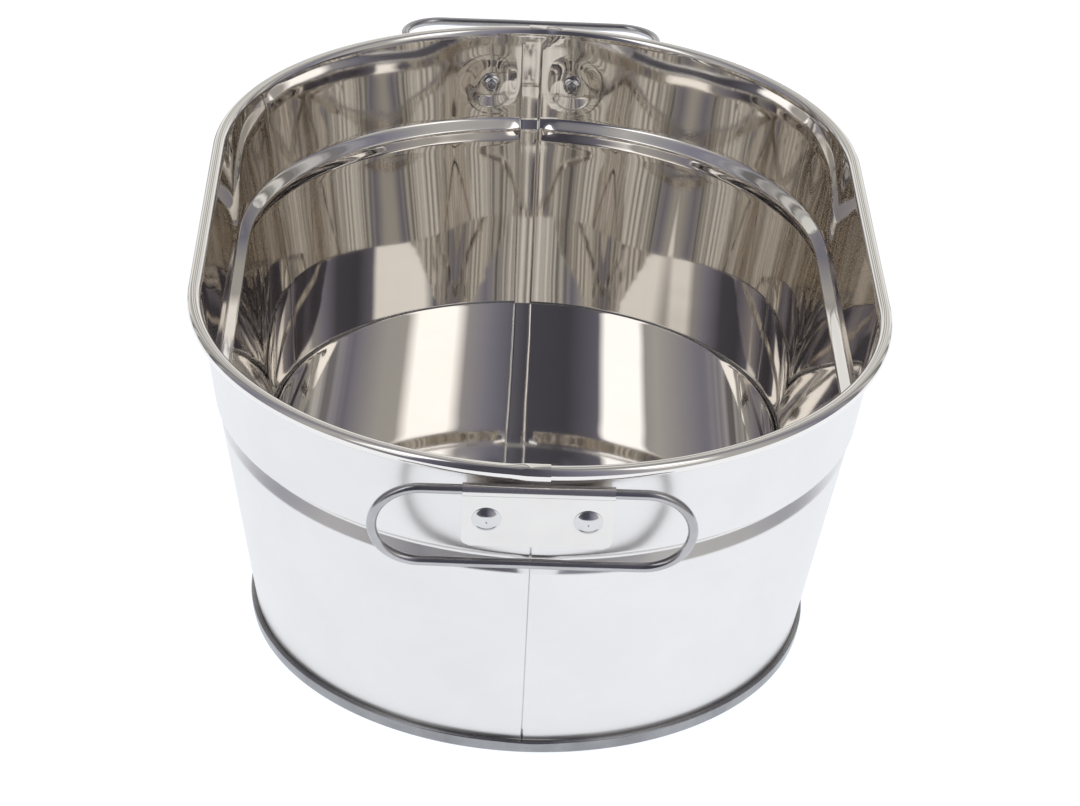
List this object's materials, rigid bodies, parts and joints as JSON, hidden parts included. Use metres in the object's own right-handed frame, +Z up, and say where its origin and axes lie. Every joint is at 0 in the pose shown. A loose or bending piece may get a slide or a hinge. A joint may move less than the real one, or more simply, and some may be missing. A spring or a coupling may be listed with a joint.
{
  "type": "foot bath",
  "caption": "Oval polished stainless-steel foot bath with tapered lock-seamed walls, a rolled rim, a pressed bead and a riveted wire drop handle at each end.",
  "frame": {"origin": "centre of the plane that the bottom seam rests on, midway between the two end seams", "axes": "+X across the width, +Y along the length from the front handle to the rear handle, +Z up"},
  "size_m": [0.296, 0.4703, 0.1515],
  "materials": {
    "polished_sheet": "mirror-polished stainless sheet",
    "rim_wire_steel": "drawn steel wire",
    "seam_sealant": "cured sealing compound",
    "ear_plate_steel": "satin stainless strip",
    "handle_wire_steel": "drawn and polished stainless wire",
    "rivet_steel": "polished stainless",
    "rivet_stem_steel": "dull broken stem"
  },
  "bodies": {
    "tub": {"left_body_shell": "polished_sheet", "right_body_shell": "polished_sheet", "bottom_pan": "polished_sheet", "rim_wire": "rim_wire_steel", "bottom_seam_sealant": "seam_sealant", "front_seam_sealant": "seam_sealant", "rear_seam_sealant": "seam_sealant", "front_ear_plate": "ear_plate_steel", "rear_ear_plate": "ear_plate_steel", "front_left_rivet": "rivet_steel", "front_left_rivet_stem": "rivet_stem_steel", "front_right_rivet": "rivet_steel", "front_right_rivet_stem": "rivet_stem_steel", "rear_left_rivet": "rivet_steel", "rear_left_rivet_stem": "rivet_stem_steel", "rear_right_rivet": "rivet_steel", "rear_right_rivet_stem": "rivet_stem_steel"},
    "front_handle": {"front_handle": "handle_wire_steel"},
    "rear_handle": {"rear_handle": "handle_wire_steel"}
  },
  "joints": [
    {"name": "front_handle_hinge", "type": "hinge", "parent": "tub", "child": "front_handle", "pos_m": [-0.0033, -0.21292, 0.139], "axis": [-1, 0, 0], "range_deg": [0, 217]},
    {"name": "rear_handle_hinge", "type": "hinge", "parent": "tub", "child": "rear_handle", "pos_m": [0.0001, 0.21292, 0.139], "axis": [1, 0, 0], "range_deg": [-97.5, 125]}
  ]
}
